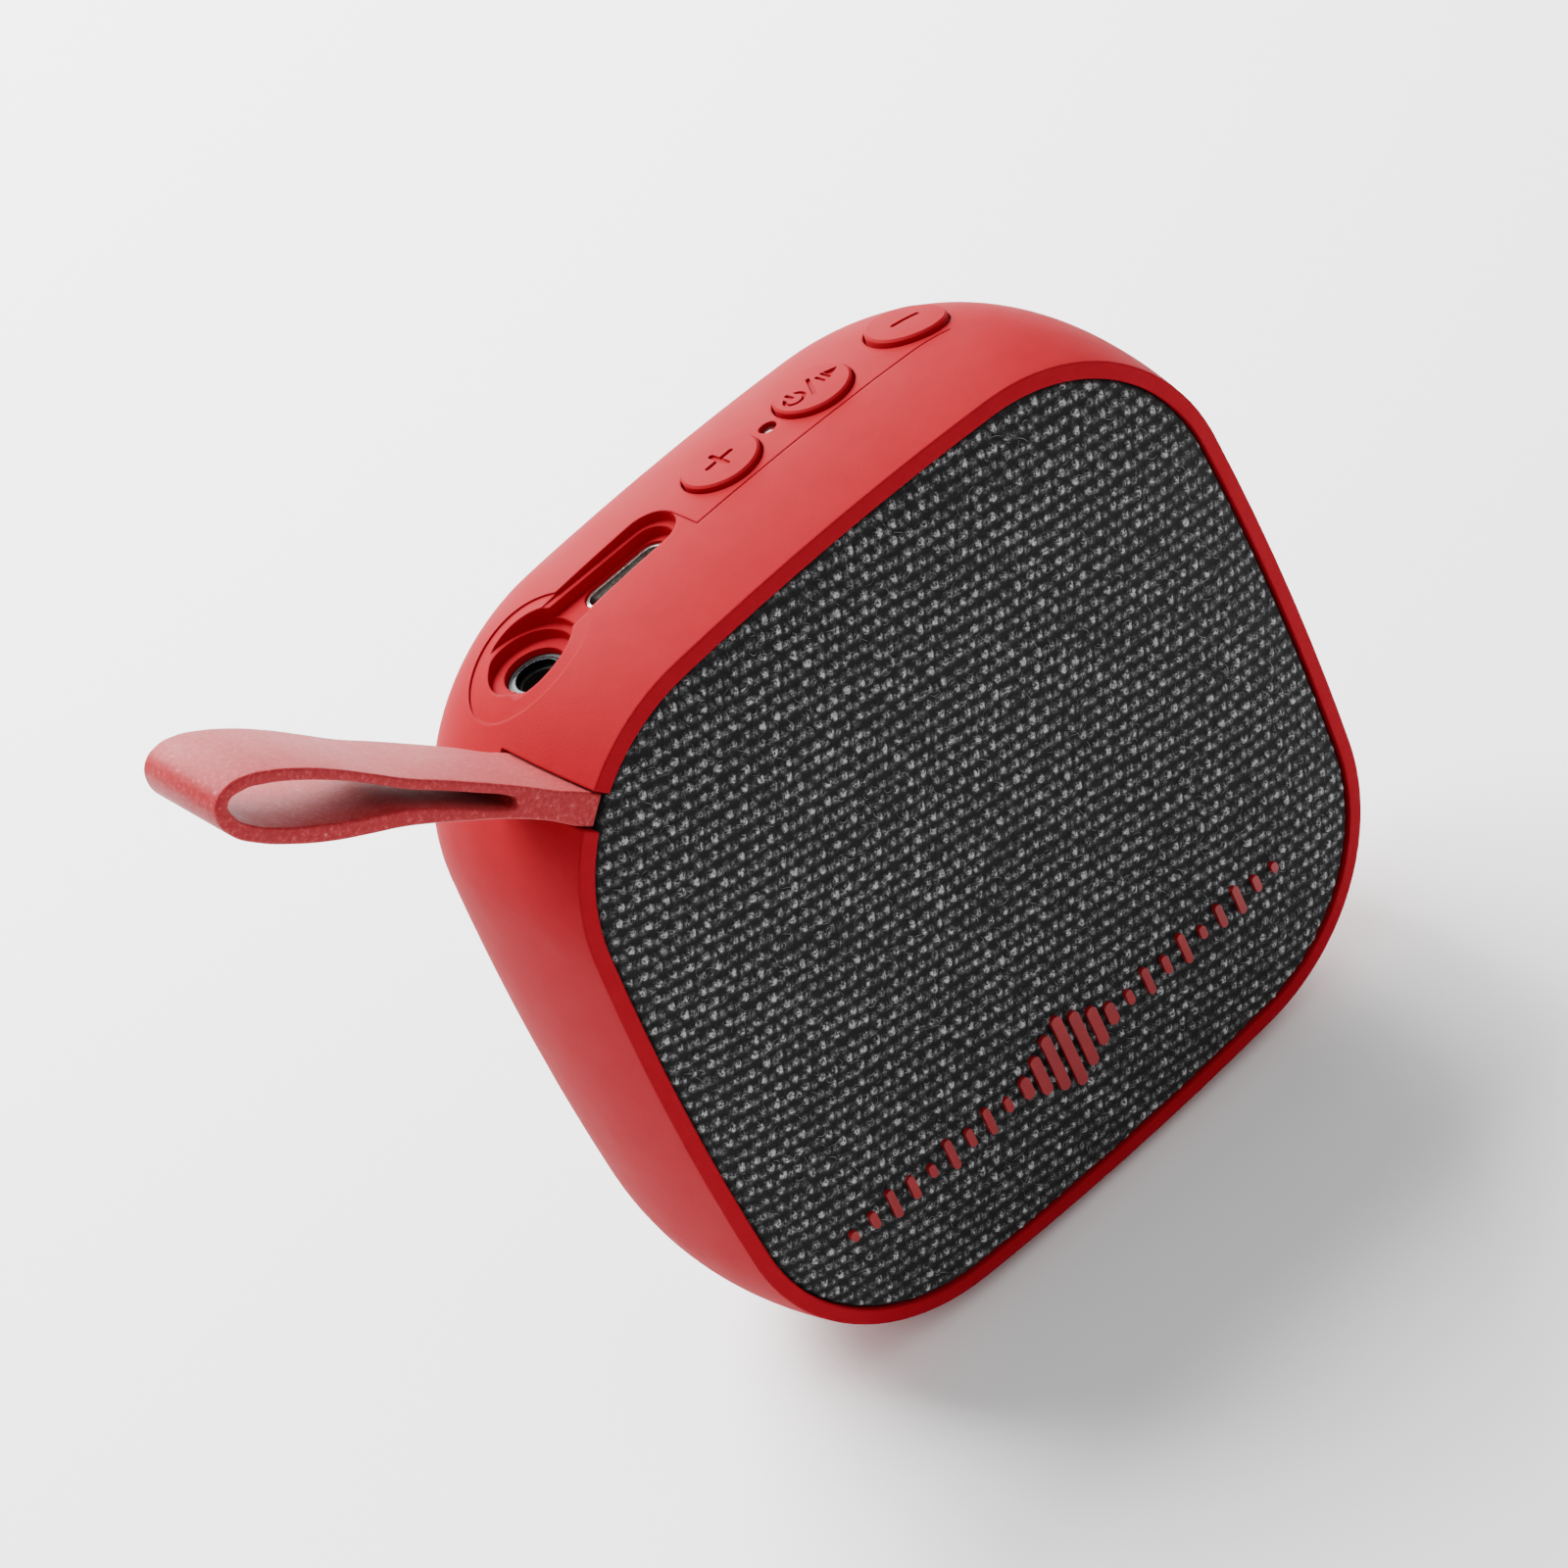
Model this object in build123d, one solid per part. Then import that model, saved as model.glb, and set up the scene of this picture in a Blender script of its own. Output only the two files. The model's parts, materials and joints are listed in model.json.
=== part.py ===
from build123d import *
import math
import os

# Small portable speaker: a rounded-square shell that stands on its bottom side.
# Everything is built with the origin at the centre of the front opening, X to the right seen
# from the front, Y backwards into the body, Z up. It is moved to the foot when it is written.
# All sizes are millimetres.

# ---- outside of the body ----
opening_half = 36.0        # half the width and height of the front opening
opening_corner = 18.6      # corner radius of the front opening
side_bow_radius = 266.0    # the four sides are slightly bowed outwards
bezel_width = 1.47         # flat rim around the opening
bezel_slope = 0.225        # how far the rim leans back at its outer edge
body_depth = 30.9          # front opening plane to back face
side_swell = 3.23          # pull of the side profile outwards, behind the rim
side_swell_depth = 18.9
back_draw_in = 2.17        # pull of the side profile inwards, before the back
back_inset = 7.97          # how far the flat back face lies inside the rim's outer edge
side_steps = 12            # sections along the side profile
profile_step = 0.001       # share of the side profile between neighbouring samples
halvings = 40              # of the range searched for a depth

# ---- walls ----
wall = 2.0
ledge_depth = 5.0          # front face of the ledge that the baffle rests on
ledge_thickness = 1.6
ledge_width = 3.0
fit_gap = 0.15             # between pieces that are assembled by hand
fabric_gap = 0.05          # the fabric edge is tucked tight against the opening

# ---- front cover ----
crown = 1.5                # how far the middle of the fabric stands in front of the opening
crown_power = 6            # higher is flatter in the middle and rounder at the edge
crown_flat = 0.45          # share of the cover that is flat
crown_steps = 7
cover_sink = 0.25          # the fabric edge lies this far inside the opening
fabric_thickness = 0.6
grille_thickness = 1.4
skirt_depth = 2.85         # back end of the grille's rim
grille_hole = 3.2
grille_pitch = 5.2
grille_row_pitch = grille_pitch * math.sqrt(0.75)
grille_field = 24.0

# ---- emblem on the fabric ----
emblem_x = -2.0
emblem_z = -22.0
emblem_proud = 0.5
bar_width = 1.1            # large bars in the middle
bar_end_radius = bar_width / 2.1   # just under half the width
bar_pitch = 1.75
bar_heights = (2.4, 4.4, 6.4, 8.2, 6.4, 4.4, 2.4)
tick_width = 0.75          # small bars to the left and right of them
tick_end_radius = tick_width / 2.1
tick_pitch = 2.3
tick_heights = (1.6, 3.0, 2.0, 3.4, 1.4, 2.6, 3.2, 1.8, 1.1)

# ---- baffle and its screws ----
baffle_front = 3.0
post_x = opening_half - 5.4   # screw posts, to the left and right of the middle
post_z = (14.0, -22.0)
post_radius = 2.6
screw_radius = 1.0
screw_length = 7.0
screw_head_radius = 1.9
screw_head_height = 0.9
screw_slot_length = 1.8
screw_slot_width = 0.4
screw_slot_depth = 0.45
pilot_depth = 9.0

# ---- loudspeaker driver ----
driver_z = -5.0
flange_radius = 22.5
flange_thickness = 1.0
gasket_thickness = 0.5
surround_outer = 19.6
surround_inner = 16.6
surround_rise = 1.2
baffle_hole = 20.4
basket_neck = 13.5
driver_space = body_depth - 13.8   # depth shared by the basket, the magnet and the battery
basket_length = 0.47 * driver_space
basket_wall = 0.8
basket_window_width = 11.0
pole_radius = 6.0
coil_inner = 6.3
coil_wall = 0.35
plate_hole = 7.0
plate_radius = 12.3
plate_thickness = 2.0
magnet_thickness = 0.2 * driver_space
magnet_hole = 8.2
yoke_thickness = 2.0
cone_wall = 0.35
cone_depth = 0.42 * basket_length
spider_gap = 0.17 * basket_length
dome_rise = 1.6
spider_wall = 0.3
spider_waves = 6
spider_wave_rise = 0.35
glue_gap = 0.02            # beside a piece that is glued or screwed in place
roll_wall = 0.35           # rubber of the half-roll edge around the cone
rim_inset = 0.8            # the flange reaches this far under the half-roll edge
cage_shoulder = 2.0        # the cage narrows this far behind the spider
shelf_gap = 0.4            # around the spider's rim
shelf_lip = 1.8            # width of the ledge under the spider's rim
shelf_depth = 1.2
seat_width = 0.6           # bare ring around the top plate's hole
window_front_gap = 0.8     # the cage's windows start this far behind the flange
window_back_gap = 0.4      # and end this far in front of the spider
magnet_inset = 0.4         # the magnet and the yoke are narrower than the top plate
yoke_inset = 0.6
coil_start = 0.2           # front of the coil, behind the back of the cone
terminal_half = 4.0        # half the width of the terminal strip
terminal_start = 2.4       # distance behind the flange
terminal_depth = 3.0
terminal_inset = 0.4
lug_x = 2.4
lug_half = 0.7
lug_start = 1.0
lug_reach = 3.0            # the lugs stand this far behind the strip
lug_thickness = 0.3

# ---- top features: a row of ports and buttons ----
row_depth = body_depth / 2 + 0.45   # the row's distance behind the opening plane
button_x = {"plus": 0.6, "power": 11.3, "minus": 22.0}
button_radius = 3.72
button_hole = 3.9
button_proud = 0.6
button_edge = 0.2
button_flange = 4.4
button_flange_thickness = 0.7
button_flange_gap = 0.45
button_hole_depth = 4.5
button_pocket_gap = 0.2    # flat pocket around the hole, just inside the wall
icon_depth = 0.25
icon_line = 0.5
icon_end_radius = icon_line / 2.2   # just under half the width
icon_size = 3.1            # width of the plus and the minus
fine_line = 0.36           # strokes of the smaller power and play marks
power_ring = 1.1
power_gap = 1.1            # opening at the top of the ring
power_stroke_length = 1.12 * power_ring
power_stroke_middle = 0.73 * power_ring
slash_length = 3.2
slash_tilt = -25
play_size = 0.8
pause_height = 1.5
pause_line = 0.8 * fine_line
side_mark_x = 1.9          # the power and play marks' distance from the slash
led_x = 6.0
led_radius = 0.85          # radius of the hole over the light pipe
led_thickness = 0.4
led_width = 1.6
led_height = 0.9
led_drop = 1.2             # below the board's top edge
pipe_drop = 1.6
pipe_arm = 1.2             # width and height of the arm that reaches the LED
pipe_gap = 0.1
pipe_sink = 0.5

# ---- port recess ----
usb_x = -11.85
usb_recess_right = -5.8
usb_recess_half = 2.85
usb_recess_y = row_depth - 0.35
usb_floor_z = opening_half - 0.05
jack_x = -23.2
jack_recess_radius = 4.78
jack_floor_z = opening_half - 1.8
recess_step = 0.7          # the recess narrows by this once on the way down
recess_step_rise = 1.0     # height of the step above the floor
ring_radius = 6.4
ring_depth = 0.15
line_width = 0.14
line_depth = 0.14
line_y = row_depth - 4.5
line_right = 23.5
port_block_floor = 2.0
port_block_side = 1.4

# ---- USB-C socket ----
usb_width = 8.94
usb_height = 3.26
usb_length = 7.35
usb_shell_wall = 0.3
usb_back_wall = 0.6
usb_sink = 0.2
tongue_width = 6.69
tongue_thickness = 0.7
tongue_length = 5.2

# ---- audio socket ----
jack_bore = 1.8
jack_length = 15.5
jack_width = 6.4
jack_nose = 2.75
jack_hole = 2.85
jack_sink = 0.6
jack_end_wall = 1.0
jack_ring_height = 0.8
jack_ring_inner = 2.1
jack_ring_outer = 2.45
jack_ear_width = 1.6       # solder ears that lie on the front of the board
jack_ear_height = 2.0
jack_ear_thickness = 0.6
jack_ear_low = (2.0, 9.0)  # heights of the ears above the socket's lower end

# ---- main board ----
board_front = row_depth + 1.3
board_thickness = 1.0
board_right = 26.0
board_bottom = opening_half - 17.7
board_top = board_bottom + 13.5
board_corner_cut = 4.5
board_post_x = (-4.5, 16.6)
board_post_z = board_bottom + 3.3
chip_z = board_bottom + 4.7
radio_x = 8.0
radio_size = (6.0, 6.0, 0.9)         # width, height and thickness
amplifier_x = 22.0
amplifier_size = (4.0, 4.0, 0.9)
battery_plug_x = -14.0
battery_plug_size = (6.0, 4.0, 3.2)
board_post_radius = 2.2
board_screw_length = 5.0
switch_width = 4.2
switch_height = 2.2
switch_depth = 2.4
plunger_radius = 0.6
plunger_length = 1.6
plunger_rise = 0.2         # the plungers' tops stand this far above the board
stem_radius = 1.6 * plunger_radius   # pin under a button that presses its plunger
plunger_clearance = 0.06
press_gap = 0.05

# ---- battery ----
battery_width = 40.0
battery_height = 30.0
battery_thickness = 0.33 * driver_space
battery_z = -8.0
battery_corner = 1.6
foam_thickness = 0.6
foam_margin = 4.0          # the foam is smaller than the battery all round

# ---- foot ----
foot_width = 40.0
foot_depth = 14.0
foot_corner = 5.0
foot_edge = 0.3            # bevel around the resting face
foot_proud = 0.5
foot_recess = 0.8
foot_y = 14.5

# ---- strap, drawn in the plane of the top left corner's diagonal ----
strap_front = 0.5          # front edge of the band, behind the opening plane
strap_width = 11.1
notch_half = 1.7           # half width of the slot in the shell
notch_clearance = 0.4
hinge_reach = 3.65         # bending line, measured outwards from the anchor's inner end
neck_half = 1.25
hinge_clearance = 0.15
anchor_half = 1.0
tongue_front = 7.0         # inside the shell the anchor passes behind the ledge
anchor_head_inset = 3.15   # the head lies this far inwards from the anchor's outer part
anchor_head_thickness = 2.2
anchor_head_half = 3.5


# ---- values worked out from the sizes above ----
rim_half = opening_half + bezel_width
rim_corner = opening_corner + bezel_width


def side_profile(t):
    """Depth and half width of the outside at share t of the way from the rim to the back."""
    depths = (bezel_slope, side_swell_depth, body_depth, body_depth)
    widths = (rim_half, rim_half + side_swell, rim_half - back_draw_in, rim_half - back_inset)
    weights = ((1 - t) ** 3, 3 * t * (1 - t) ** 2, 3 * t * t * (1 - t), t ** 3)
    depth = sum(w * d for w, d in zip(weights, depths))
    width = sum(w * d for w, d in zip(weights, widths))
    return depth, width


def profile_normal(t):
    """Outward direction across the side profile at share t, as (backwards, outwards)."""
    before = side_profile(max(t - profile_step, 0))
    after = side_profile(min(t + profile_step, 1))
    along = (after[0] - before[0], after[1] - before[1])
    length = math.hypot(*along)
    return -along[1] / length, along[0] / length


def corner_centre(half, corner, bow):
    """Distance of a corner arc's centre from both middle lines."""
    reach = bow - half
    return (-reach + math.sqrt(2 * (bow - corner) ** 2 - reach ** 2)) / 2


def rounded_square(half, corner, depth, bow=side_bow_radius):
    """Closed outline at one depth: four bowed sides joined by four tangent corner arcs."""
    centre = corner_centre(half, corner, bow)
    turn = math.atan2(centre, centre + bow - half)
    joint = (bow * math.sin(turn), half - bow + bow * math.cos(turn))
    tip = centre + corner * math.sqrt(0.5)
    edges = []
    for quarter in range(4):
        spin = Plane.XZ.rotated((0, 90 * quarter, 0))
        points = [(-joint[0], joint[1]), (0, half), joint, (tip, tip), (joint[1], joint[0])]
        placed = [spin.from_local_coords(Vector(x, z, 0)) + Vector(0, depth, 0) for x, z in points]
        edges.append(ThreePointArc(placed[0], placed[1], placed[2]))
        edges.append(ThreePointArc(placed[2], placed[3], placed[4]))
    return Wire(edges)


def loft_through(outlines, ruled=False):
    return Solid.make_loft(outlines, ruled)


def slab(half, corner, front, back):
    """Straight block with the body's rounded-square outline between two depths."""
    return loft_through([rounded_square(half, corner, front), rounded_square(half, corner, back)], True)


def body_form(offset):
    """The outside of the body moved outwards by offset, or inwards when negative."""
    outlines = []
    for step in range(side_steps + 1):
        t = step / side_steps
        depth, half = side_profile(t)
        back, out = profile_normal(t)
        corner = rim_corner + out * offset
        outlines.append(rounded_square(half + out * offset, corner, depth + back * offset))
    return loft_through(outlines)


def half_at(depth, offset=0.0):
    """Half width of the body at a depth, found along the side profile."""
    low, high = 0.0, 1.0
    for _ in range(halvings):
        middle = (low + high) / 2
        if side_profile(middle)[0] < depth:
            low = middle
        else:
            high = middle
    return side_profile(low)[1] + offset


def top_point(x, depth, offset=0.0):
    """Height and sideways slope angle of the top side at x."""
    half = half_at(depth, offset)
    corner = rim_corner + offset
    centre = corner_centre(half, corner, side_bow_radius)
    turn = math.atan2(centre, centre + side_bow_radius - half)
    if abs(x) < side_bow_radius * math.sin(turn):
        angle = math.asin(x / side_bow_radius)
        return half - side_bow_radius * (1 - math.cos(angle)), math.degrees(angle)
    angle = math.asin((abs(x) - centre) / corner)
    return centre + corner * math.cos(angle), math.copysign(math.degrees(angle), x)


def box(x0, x1, y0, y1, z0, z1):
    return Pos((x0 + x1) / 2, (y0 + y1) / 2, (z0 + z1) / 2) * Box(x1 - x0, y1 - y0, z1 - z0)


def upright(radius, x, y, z0, z1):
    """Cylinder along Z."""
    return Pos(x, y, (z0 + z1) / 2) * Cylinder(radius, z1 - z0)


def barrel(radius, x, z, front, back):
    """Cylinder along Y."""
    return Pos(x, (front + back) / 2, z) * Rot(90, 0, 0) * Cylinder(radius, back - front)


def turned(points):
    """Ring or disc about the driver's axis, from an outline of (radius, depth) points."""
    face = Face(Wire.make_polygon([(r, d, 0) for r, d in points]))
    return Pos(0, 0, driver_z) * revolve(face, Axis.Y)


def whole(shape):
    """One solid or a group of solids, without empty wrappers."""
    solids = shape.solids()
    return solids[0] if len(solids) == 1 else Compound(solids)


widest_half = max(side_profile(step / 200)[1] for step in range(201))
body_centre_height = widest_half + foot_proud
far = 3 * widest_half
ledge_back = ledge_depth + ledge_thickness
back_wall = body_depth - wall
baffle_thickness = ledge_depth - baffle_front
strap_back = strap_front + strap_width
post_places = [(side * post_x, z) for side in (-1, 1) for z in post_z]
opening_tip = (corner_centre(opening_half, opening_corner, side_bow_radius) * math.sqrt(2)
               + opening_corner)
anchor_start = opening_tip + fit_gap
anchor_head_start = anchor_start - anchor_head_inset
hinge_s = anchor_start + hinge_reach


# ---- shell ----
def along_corner(s0, s1, half_width, front, back):
    """Block along the top left diagonal, s outwards from the middle."""
    block = Box(s1 - s0, back - front, 2 * half_width)
    return Rot(0, 45, 0) * Pos(-(s0 + s1) / 2, (front + back) / 2, 0) * block


def port_cut():
    """The joined recesses of both sockets, each with one step, and their through holes."""
    cut = None
    for inset, rise in ((0.0, recess_step_rise), (recess_step, 0.0)):
        half = usb_recess_half - inset
        right = usb_recess_right - inset
        usb_low = usb_floor_z + rise
        jack_low = jack_floor_z + rise
        lane = box(jack_x, right - half, usb_recess_y - half, usb_recess_y + half, usb_low, far)
        end = upright(half, right - half, usb_recess_y, usb_low, far)
        pit = upright(jack_recess_radius - inset, jack_x, row_depth, jack_low, far)
        level = lane + end + pit
        cut = level if cut is None else cut + level
    mouth = usb_slot(usb_width + 2 * fabric_gap, usb_height + 2 * fabric_gap, 0, far)
    socket_hole = upright(jack_hole, jack_x, row_depth, 0, far)
    below = box(-far, far, -far, far, usb_floor_z - wall - port_block_floor - jack_length, far)
    return cut + (mouth + socket_hole) & below


def usb_slot(width, height, z0, z1):
    """Upright block with the socket's oblong section."""
    outline = Plane.XY.offset(z0) * Pos(usb_x, usb_recess_y) * SlotOverall(width, height)
    return extrude(outline, z1 - z0)


def skin_cut(shape, depth):
    """The part of shape that lies within depth of the outside surface."""
    return shape - body_form(-depth)


def witness_marks():
    """Fine mould line beside the buttons and the shallow ring around the audio socket."""
    half = line_width / 2
    top = body_centre_height
    line = box(usb_recess_right, line_right, line_y - half, line_y + half, top / 2, top)
    side = box(usb_recess_right - half, usb_recess_right + half, line_y - half,
               usb_recess_y, top / 2, top)
    ring = upright(ring_radius, jack_x, row_depth, top / 2, top)
    return skin_cut(line + side, line_depth) + skin_cut(ring, ring_depth)


def make_housing(outside, inside):
    rim = loft_through([rounded_square(opening_half, opening_corner, 0),
                        rounded_square(rim_half, rim_corner, bezel_slope)], True)
    shell = outside + rim
    shell -= inside & box(-far, far, ledge_back, far, -far, far)
    shell -= slab(opening_half, opening_corner, -1, ledge_depth)
    shell -= slab(opening_half - ledge_width, opening_corner - ledge_width, 0, ledge_back + 0.5)
    block_low = jack_floor_z - port_block_floor
    fill = box(jack_x - jack_recess_radius - wall, usb_recess_right + port_block_side,
               row_depth - jack_recess_radius - wall, row_depth + jack_recess_radius + wall,
               block_low, widest_half)
    for x, z in post_places:
        fill += barrel(post_radius, x, z, ledge_depth, back_wall + wall / 4)
    for x in board_post_x:
        fill += barrel(board_post_radius, x, board_post_z,
                       board_front + board_thickness, back_wall + wall / 4)
    shell += fill & outside
    for x, z in post_places:
        shell -= barrel(screw_radius, x, z, 0, ledge_depth + pilot_depth)
    for x in board_post_x:
        shell -= barrel(screw_radius, x, board_post_z, board_front,
                        board_front + board_thickness + board_screw_length)
    shell -= port_cut()
    for name in button_x:
        shell -= button_axis(name) * Cylinder(button_hole, 2 * button_hole_depth)
        pocket_top = -wall - button_pocket_gap
        shell -= button_axis(name) * Pos(0, 0, pocket_top - button_hole_depth / 2) * Cylinder(
            button_flange + 2 * fit_gap, button_hole_depth)
    shell -= upright(led_radius, led_x, row_depth, widest_half - button_hole_depth, widest_half)
    shell -= witness_marks()
    shell -= along_corner(anchor_start - wall / 2, far, notch_half, -1, strap_back + notch_clearance)
    foot_pocket = foot_block(fit_gap, 0, foot_proud + foot_recess)
    return whole(shell - foot_pocket)


# ---- buttons ----
def button_axis(name):
    """Frame on the top surface at a button: local Z points outwards, square to the surface."""
    x = button_x[name]
    height, tilt = top_point(x, row_depth)
    return Pos(x, row_depth, height) * Rot(0, tilt, 0)


def icon_sketch(name):
    """Generic control marks, read from in front of the speaker."""
    level = RectangleRounded(icon_size, icon_line, icon_end_radius)
    if name == "minus":
        return level
    if name == "plus":
        return level + Rot(0, 0, 90) * level
    ring = Circle(power_ring) - Circle(power_ring - fine_line)
    power = ring - Pos(0, power_ring) * Rectangle(power_gap, power_ring)
    power += Pos(0, power_stroke_middle) * Rectangle(fine_line, power_stroke_length)
    slash = Rot(0, 0, slash_tilt) * Rectangle(fine_line, slash_length)
    play = Pos(play_size / 2, 0) * RegularPolygon(play_size, 3)
    for x in (-play_size, -play_size / 4):
        play += Pos(x, 0) * Rectangle(pause_line, pause_height)
    return Pos(-side_mark_x, 0) * power + slash + Pos(side_mark_x, 0) * play


def make_button(name):
    """Cap with a curved top that follows the body, a retaining flange and a short stem."""
    axis = button_axis(name)
    under = wall + button_flange_gap
    flange_low = under + button_flange_thickness
    stem_low = plunger_top(name) - press_gap
    above = 2 * button_proud
    cap = Pos(0, 0, (above - under) / 2) * Cylinder(button_radius, above + under)
    flange = Pos(0, 0, -(under + flange_low) / 2) * Cylinder(button_flange, button_flange_thickness)
    stem = Pos(0, 0, -(flange_low + stem_low) / 2) * Cylinder(stem_radius, stem_low - flange_low)
    top_form = body_form(button_proud)
    icon = axis * extrude(icon_sketch(name), above)
    engraving = icon - body_form(button_proud - icon_depth)
    shaped = (axis * (cap + flange + stem)) & top_form
    rim_edges = []
    for edge in shaped.edges():
        seen = axis.inverse() * Vertex(edge @ 0.5)
        if seen.Z > 0 and math.hypot(seen.X, seen.Y) > button_radius - press_gap:
            rim_edges.append(edge)
    return whole(chamfer(rim_edges, button_edge) - engraving)


def plunger_top(name):
    """Distance from the outside surface down to the top of the switch plunger."""
    height, tilt = top_point(button_x[name], row_depth)
    return (height - board_top) / math.cos(math.radians(tilt)) - plunger_rise


def switch_frame(name):
    """Frame at the top of a switch body, in line with its button."""
    below = plunger_top(name) + plunger_length / 2
    return button_axis(name) * Pos(0, 0, -below)


def make_switch(name):
    half = switch_width / 2
    body = box(-half, half, -switch_depth / 2, board_front - row_depth, -switch_height, 0)
    bore = Pos(0, 0, -switch_height / 2) * Cylinder(plunger_radius + plunger_clearance, switch_height + 1)
    return whole(switch_frame(name) * (body - bore))


def make_plunger(name):
    return whole(switch_frame(name) * Cylinder(plunger_radius, plunger_length))


# ---- front cover ----
def crown_outline(share, inset):
    """One contour of the domed cover, at a share of its half width."""
    rim = opening_half - fabric_gap - inset
    half = rim * share
    drop = crown * (1 - share ** crown_power)
    return rounded_square(half, opening_corner * share - inset * share,
                          cover_sink + inset - drop, side_bow_radius * share)


def cover_form(inset, back):
    """Domed block from the cover's front surface, moved in by inset, to a flat back."""
    shares = [1 - (1 - crown_flat) * step / crown_steps for step in range(crown_steps + 1)]
    dome = loft_through([crown_outline(share, inset) for share in shares])
    half = opening_half - fabric_gap - inset
    return dome + slab(half, opening_corner - inset, cover_sink + inset, back)


def make_fabric():
    back = skirt_depth - fit_gap
    return whole(cover_form(0, back) - cover_form(fabric_thickness, far))


def make_grille():
    inset = fabric_thickness
    plate = cover_form(inset, skirt_depth) - cover_form(inset + grille_thickness, far)
    rows = int(grille_field / grille_row_pitch)
    for row in range(-rows, rows + 1):
        z = row * grille_row_pitch
        shift = grille_pitch / 2 * (row % 2)
        reach = math.sqrt(grille_field ** 2 - z * z)
        first = math.ceil((-reach - shift) / grille_pitch)
        last = math.floor((reach - shift) / grille_pitch)
        for column in range(first, last + 1):
            x = column * grille_pitch + shift
            plate -= barrel(grille_hole / 2, x, z, -crown - 1, skirt_depth)
    return whole(plate)


def make_emblem():
    """Seven rounded level bars with a row of small ones on each side, resting on the fabric."""
    marks = Sketch()
    middle = (len(bar_heights) - 1) / 2
    for index, height in enumerate(bar_heights):
        x = (index - middle) * bar_pitch
        marks += Pos(x, 0) * RectangleRounded(bar_width, height, bar_end_radius)
    first_tick = middle * bar_pitch + tick_pitch
    for index, height in enumerate(tick_heights):
        for side in (-1, 1):
            x = side * (first_tick + index * tick_pitch)
            marks += Pos(x, 0) * RectangleRounded(tick_width, height, tick_end_radius)
    reach = 2 * crown + skirt_depth
    raised = Pos(emblem_x, -reach, emblem_z) * Rot(90, 0, 0) * extrude(marks, -2 * reach)
    return whole(raised & cover_form(-emblem_proud, skirt_depth) - cover_form(0, skirt_depth))


# ---- baffle ----
def make_baffle():
    half = opening_half - fit_gap
    plate = slab(half, opening_corner - fit_gap, baffle_front, ledge_depth)
    plate -= barrel(baffle_hole, 0, driver_z, 0, far)
    for x, z in post_places:
        plate -= barrel(screw_radius + fit_gap, x, z, 0, far)
        plate -= barrel(screw_head_radius + fit_gap, x, z, 0, baffle_front + screw_head_height)
    return whole(plate)


def make_screw(x, z, head_front, length):
    """Pan-head screw with a cross slot, pointing backwards."""
    head_back = head_front + screw_head_height
    screw = barrel(screw_head_radius, x, z, head_front, head_back)
    screw += barrel(screw_radius - glue_gap, x, z, head_back, head_back + length)
    for width, height in ((screw_slot_length, screw_slot_width),
                          (screw_slot_width, screw_slot_length)):
        screw -= box(x - width / 2, x + width / 2, head_front - 1, head_front + screw_slot_depth,
                     z - height / 2, z + height / 2)
    return screw.solids()[0]


def make_baffle_screws():
    return Compound([make_screw(x, z, baffle_front, screw_length) for x, z in post_places])


def make_board_screws():
    head_front = board_front - screw_head_height
    return Compound([make_screw(x, board_post_z, head_front, board_screw_length)
                     for x in board_post_x])


# ---- driver ----
flange_front = ledge_depth + gasket_thickness
flange_back = flange_front + flange_thickness
basket_back = flange_back + basket_length
plate_back = basket_back + plate_thickness
magnet_back = plate_back + magnet_thickness
cone_front = flange_front - 0.1
cone_back = cone_front + cone_depth
coil_outer = coil_inner + coil_wall
coil_back = plate_back + 0.5
spider_front = cone_back + spider_gap
spider_outer = basket_neck + 2.0


def make_gasket():
    return whole(turned([(baffle_hole, ledge_depth), (flange_radius, ledge_depth),
                         (flange_radius, flange_front), (baffle_hole, flange_front)]))


def basket_outline():
    """Outer outline of the basket behind its flange, as (radius, depth) points."""
    return [(surround_outer + basket_wall, flange_back),
            (spider_outer + shelf_gap + basket_wall, spider_front + cage_shoulder),
            (basket_neck + basket_wall, basket_back)]


def basket_outside():
    return turned([(0, flange_back)] + basket_outline() + [(0, basket_back)])


def make_basket():
    """Flange, open conical cage, spider shelf and the seat of the top plate."""
    rim = surround_outer - rim_inset
    seat = plate_hole + seat_width
    lip = spider_outer - shelf_lip
    profile = [(rim, flange_front), (flange_radius, flange_front),
               (flange_radius, flange_back)] + basket_outline() + [
               (seat, basket_back), (seat, basket_back - basket_wall),
               (basket_neck, basket_back - basket_wall), (spider_outer, spider_front + shelf_depth),
               (lip, spider_front + shelf_depth), (lip, spider_front + spider_wall),
               (spider_outer + shelf_gap, spider_front + spider_wall), (rim, flange_back)]
    basket = turned(profile)
    window = box(-basket_window_width / 2, basket_window_width / 2, flange_back + window_front_gap,
                 spider_front - window_back_gap, 0, flange_radius + 2)
    for quarter in range(4):
        basket -= Pos(0, 0, driver_z) * Rot(0, 45 + 90 * quarter, 0) * window
    return whole(basket)


def make_top_plate():
    return whole(turned([(plate_hole, basket_back), (plate_radius, basket_back),
                         (plate_radius, plate_back), (plate_hole, plate_back)]))


def make_magnet():
    outer = plate_radius - magnet_inset
    return whole(turned([(magnet_hole, plate_back), (outer, plate_back),
                         (outer, magnet_back), (magnet_hole, magnet_back)]))


def make_yoke():
    back = magnet_back + yoke_thickness
    outer = plate_radius - yoke_inset
    return whole(turned([(0, basket_back), (pole_radius, basket_back), (pole_radius, magnet_back),
                         (outer, magnet_back), (outer, back), (0, back)]))


def make_cone():
    return whole(turned([(coil_outer, cone_back), (surround_inner, cone_front),
                         (surround_inner, cone_front + cone_wall),
                         (coil_outer, cone_back + cone_wall)]))


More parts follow.
